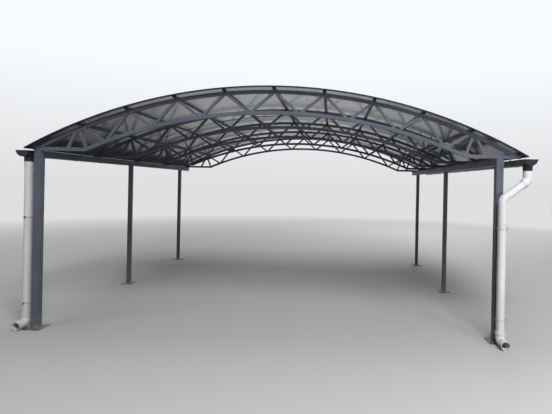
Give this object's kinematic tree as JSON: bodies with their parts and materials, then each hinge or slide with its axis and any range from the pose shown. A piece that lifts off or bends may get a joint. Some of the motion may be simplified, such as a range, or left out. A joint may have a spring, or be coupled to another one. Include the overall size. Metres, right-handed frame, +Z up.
{
  "type": "carport",
  "caption": "Open carport: square steel posts and beams carry arched lattice trusses, bent smoked plastic roof sheets, half-round eave gutters and downpipes.",
  "frame": {"origin": "on the ground, in the middle of the overall width and length", "axes": "+X to the right across the roof, +Y from the open front to the rear, +Z up"},
  "size_m": [6, 5.37, 2.8686],
  "materials": {
    "frame_paint": "satin graphite grey paint on square steel tube",
    "plate_metal": "pale grey weathered coating on steel plate",
    "roof_sheet": "smoked bronze grey cellular polycarbonate, glossy outside",
    "roof_trim": "dark plastic profile",
    "gutter_plastic": "graphite grey, slightly glossy",
    "pipe_plastic": "white, smooth, faint grime",
    "clamp_metal": "pale coated steel band"
  },
  "bodies": {
    "root": {"base_plates": "plate_metal", "beam_end_caps": "frame_paint", "beam_left": "frame_paint", "beam_right": "frame_paint", "downpipe_clamps": "clamp_metal", "downpipe_couplings": "pipe_plastic", "downpipe_left": "pipe_plastic", "downpipe_right": "pipe_plastic", "downpipe_right_neck": "pipe_plastic", "downpipe_shoe_left": "pipe_plastic", "downpipe_shoe_right": "pipe_plastic", "eave_purlins": "frame_paint", "gutter_brackets": "frame_paint", "gutter_end_caps": "gutter_plastic", "gutter_left": "gutter_plastic", "gutter_outlet_left": "gutter_plastic", "gutter_outlet_right": "gutter_plastic", "gutter_right": "gutter_plastic", "post_front_left": "frame_paint", "post_front_right": "frame_paint", "post_middle_left": "frame_paint", "post_middle_right": "frame_paint", "post_rear_left": "frame_paint", "post_rear_right": "frame_paint", "purlins": "frame_paint", "roof_arch_trims": "roof_trim", "roof_eave_trims": "roof_trim", "roof_seam_strips": "roof_trim", "roof_sheet_front": "roof_sheet", "roof_sheet_middle": "roof_sheet", "roof_sheet_rear": "roof_sheet", "truss_fourth_bottom_chord": "frame_paint", "truss_fourth_top_chord": "frame_paint", "truss_fourth_webs": "frame_paint", "truss_front_bottom_chord": "frame_paint", "truss_front_top_chord": "frame_paint", "truss_front_webs": "frame_paint", "truss_rear_bottom_chord": "frame_paint", "truss_rear_top_chord": "frame_paint", "truss_rear_webs": "frame_paint", "truss_second_bottom_chord": "frame_paint", "truss_second_top_chord": "frame_paint", "truss_second_webs": "frame_paint", "truss_third_bottom_chord": "frame_paint", "truss_third_top_chord": "frame_paint", "truss_third_webs": "frame_paint"}
  },
  "joints": []
}
